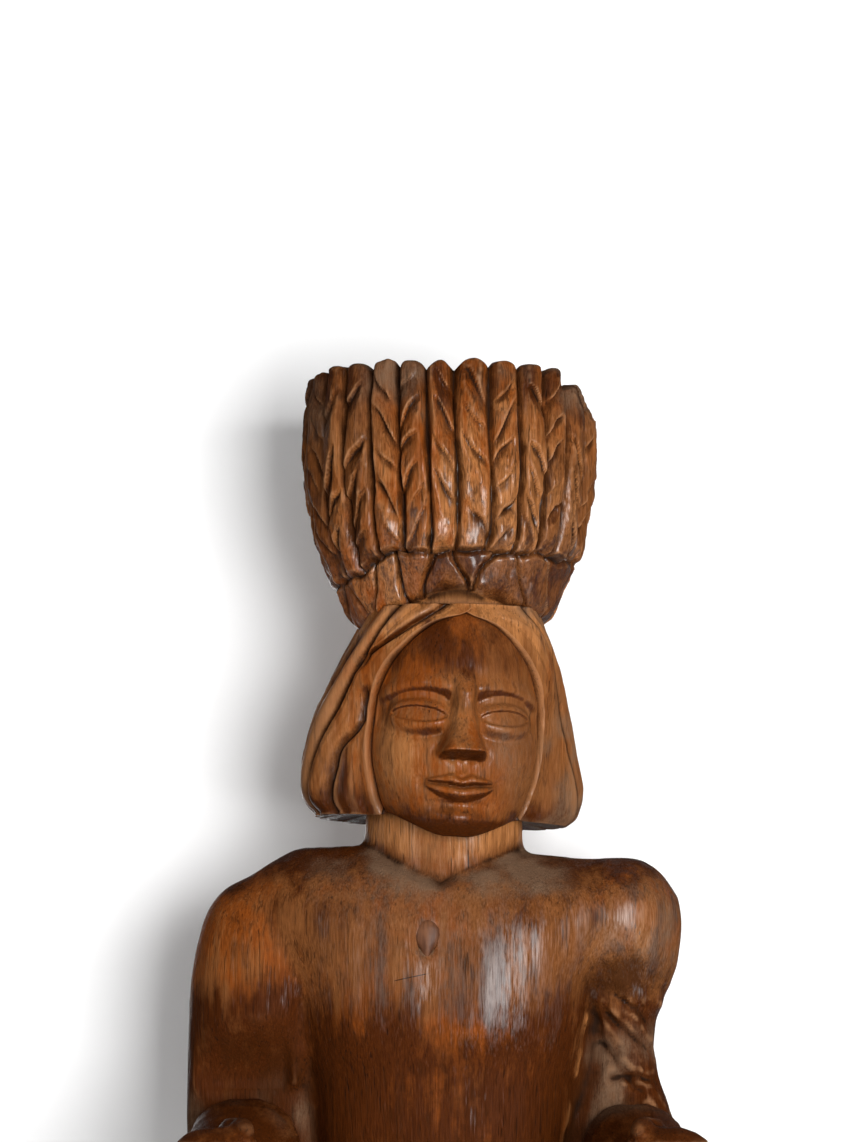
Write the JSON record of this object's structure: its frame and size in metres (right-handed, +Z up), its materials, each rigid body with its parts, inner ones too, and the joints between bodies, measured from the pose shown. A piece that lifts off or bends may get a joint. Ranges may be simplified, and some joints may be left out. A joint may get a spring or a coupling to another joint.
{
  "type": "wooden dancer sculpture",
  "caption": "Carved and varnished hardwood figure of a standing dancer with bobbed hair and a tall flared plume headdress, in doweled blocks on a felted plinth.",
  "frame": {"origin": "centre of the felt's underside, which rests on the table", "axes": "+Z up along the figure, the figure faces -Y, +X is the figure's left side"},
  "size_m": [0.1545, 0.1343, 0.4368],
  "materials": {
    "carved_wood": "satin varnish over stained hardwood, dark in the cuts",
    "dowel_wood": "plain unvarnished hardwood",
    "plug_wood": "dark stained, glossy",
    "felt": "matt dark green felt",
    "screw_steel": "plain zinc-plated steel"
  },
  "bodies": {
    "root": {"felt_base": "felt", "plinth": "carved_wood", "left_foot_screw": "screw_steel", "right_foot_screw": "screw_steel", "left_leg": "carved_wood", "right_leg": "carved_wood", "left_hip_dowel": "dowel_wood", "right_hip_dowel": "dowel_wood", "skirt": "carved_wood", "left_waist_dowel": "dowel_wood", "right_waist_dowel": "dowel_wood", "torso": "carved_wood", "left_forearm": "carved_wood", "right_forearm": "carved_wood", "left_elbow_dowel": "dowel_wood", "right_elbow_dowel": "dowel_wood", "head": "carved_wood", "neck_dowel": "dowel_wood", "headdress": "carved_wood", "headdress_dowel": "dowel_wood", "chest_plug": "plug_wood"}
  },
  "joints": []
}
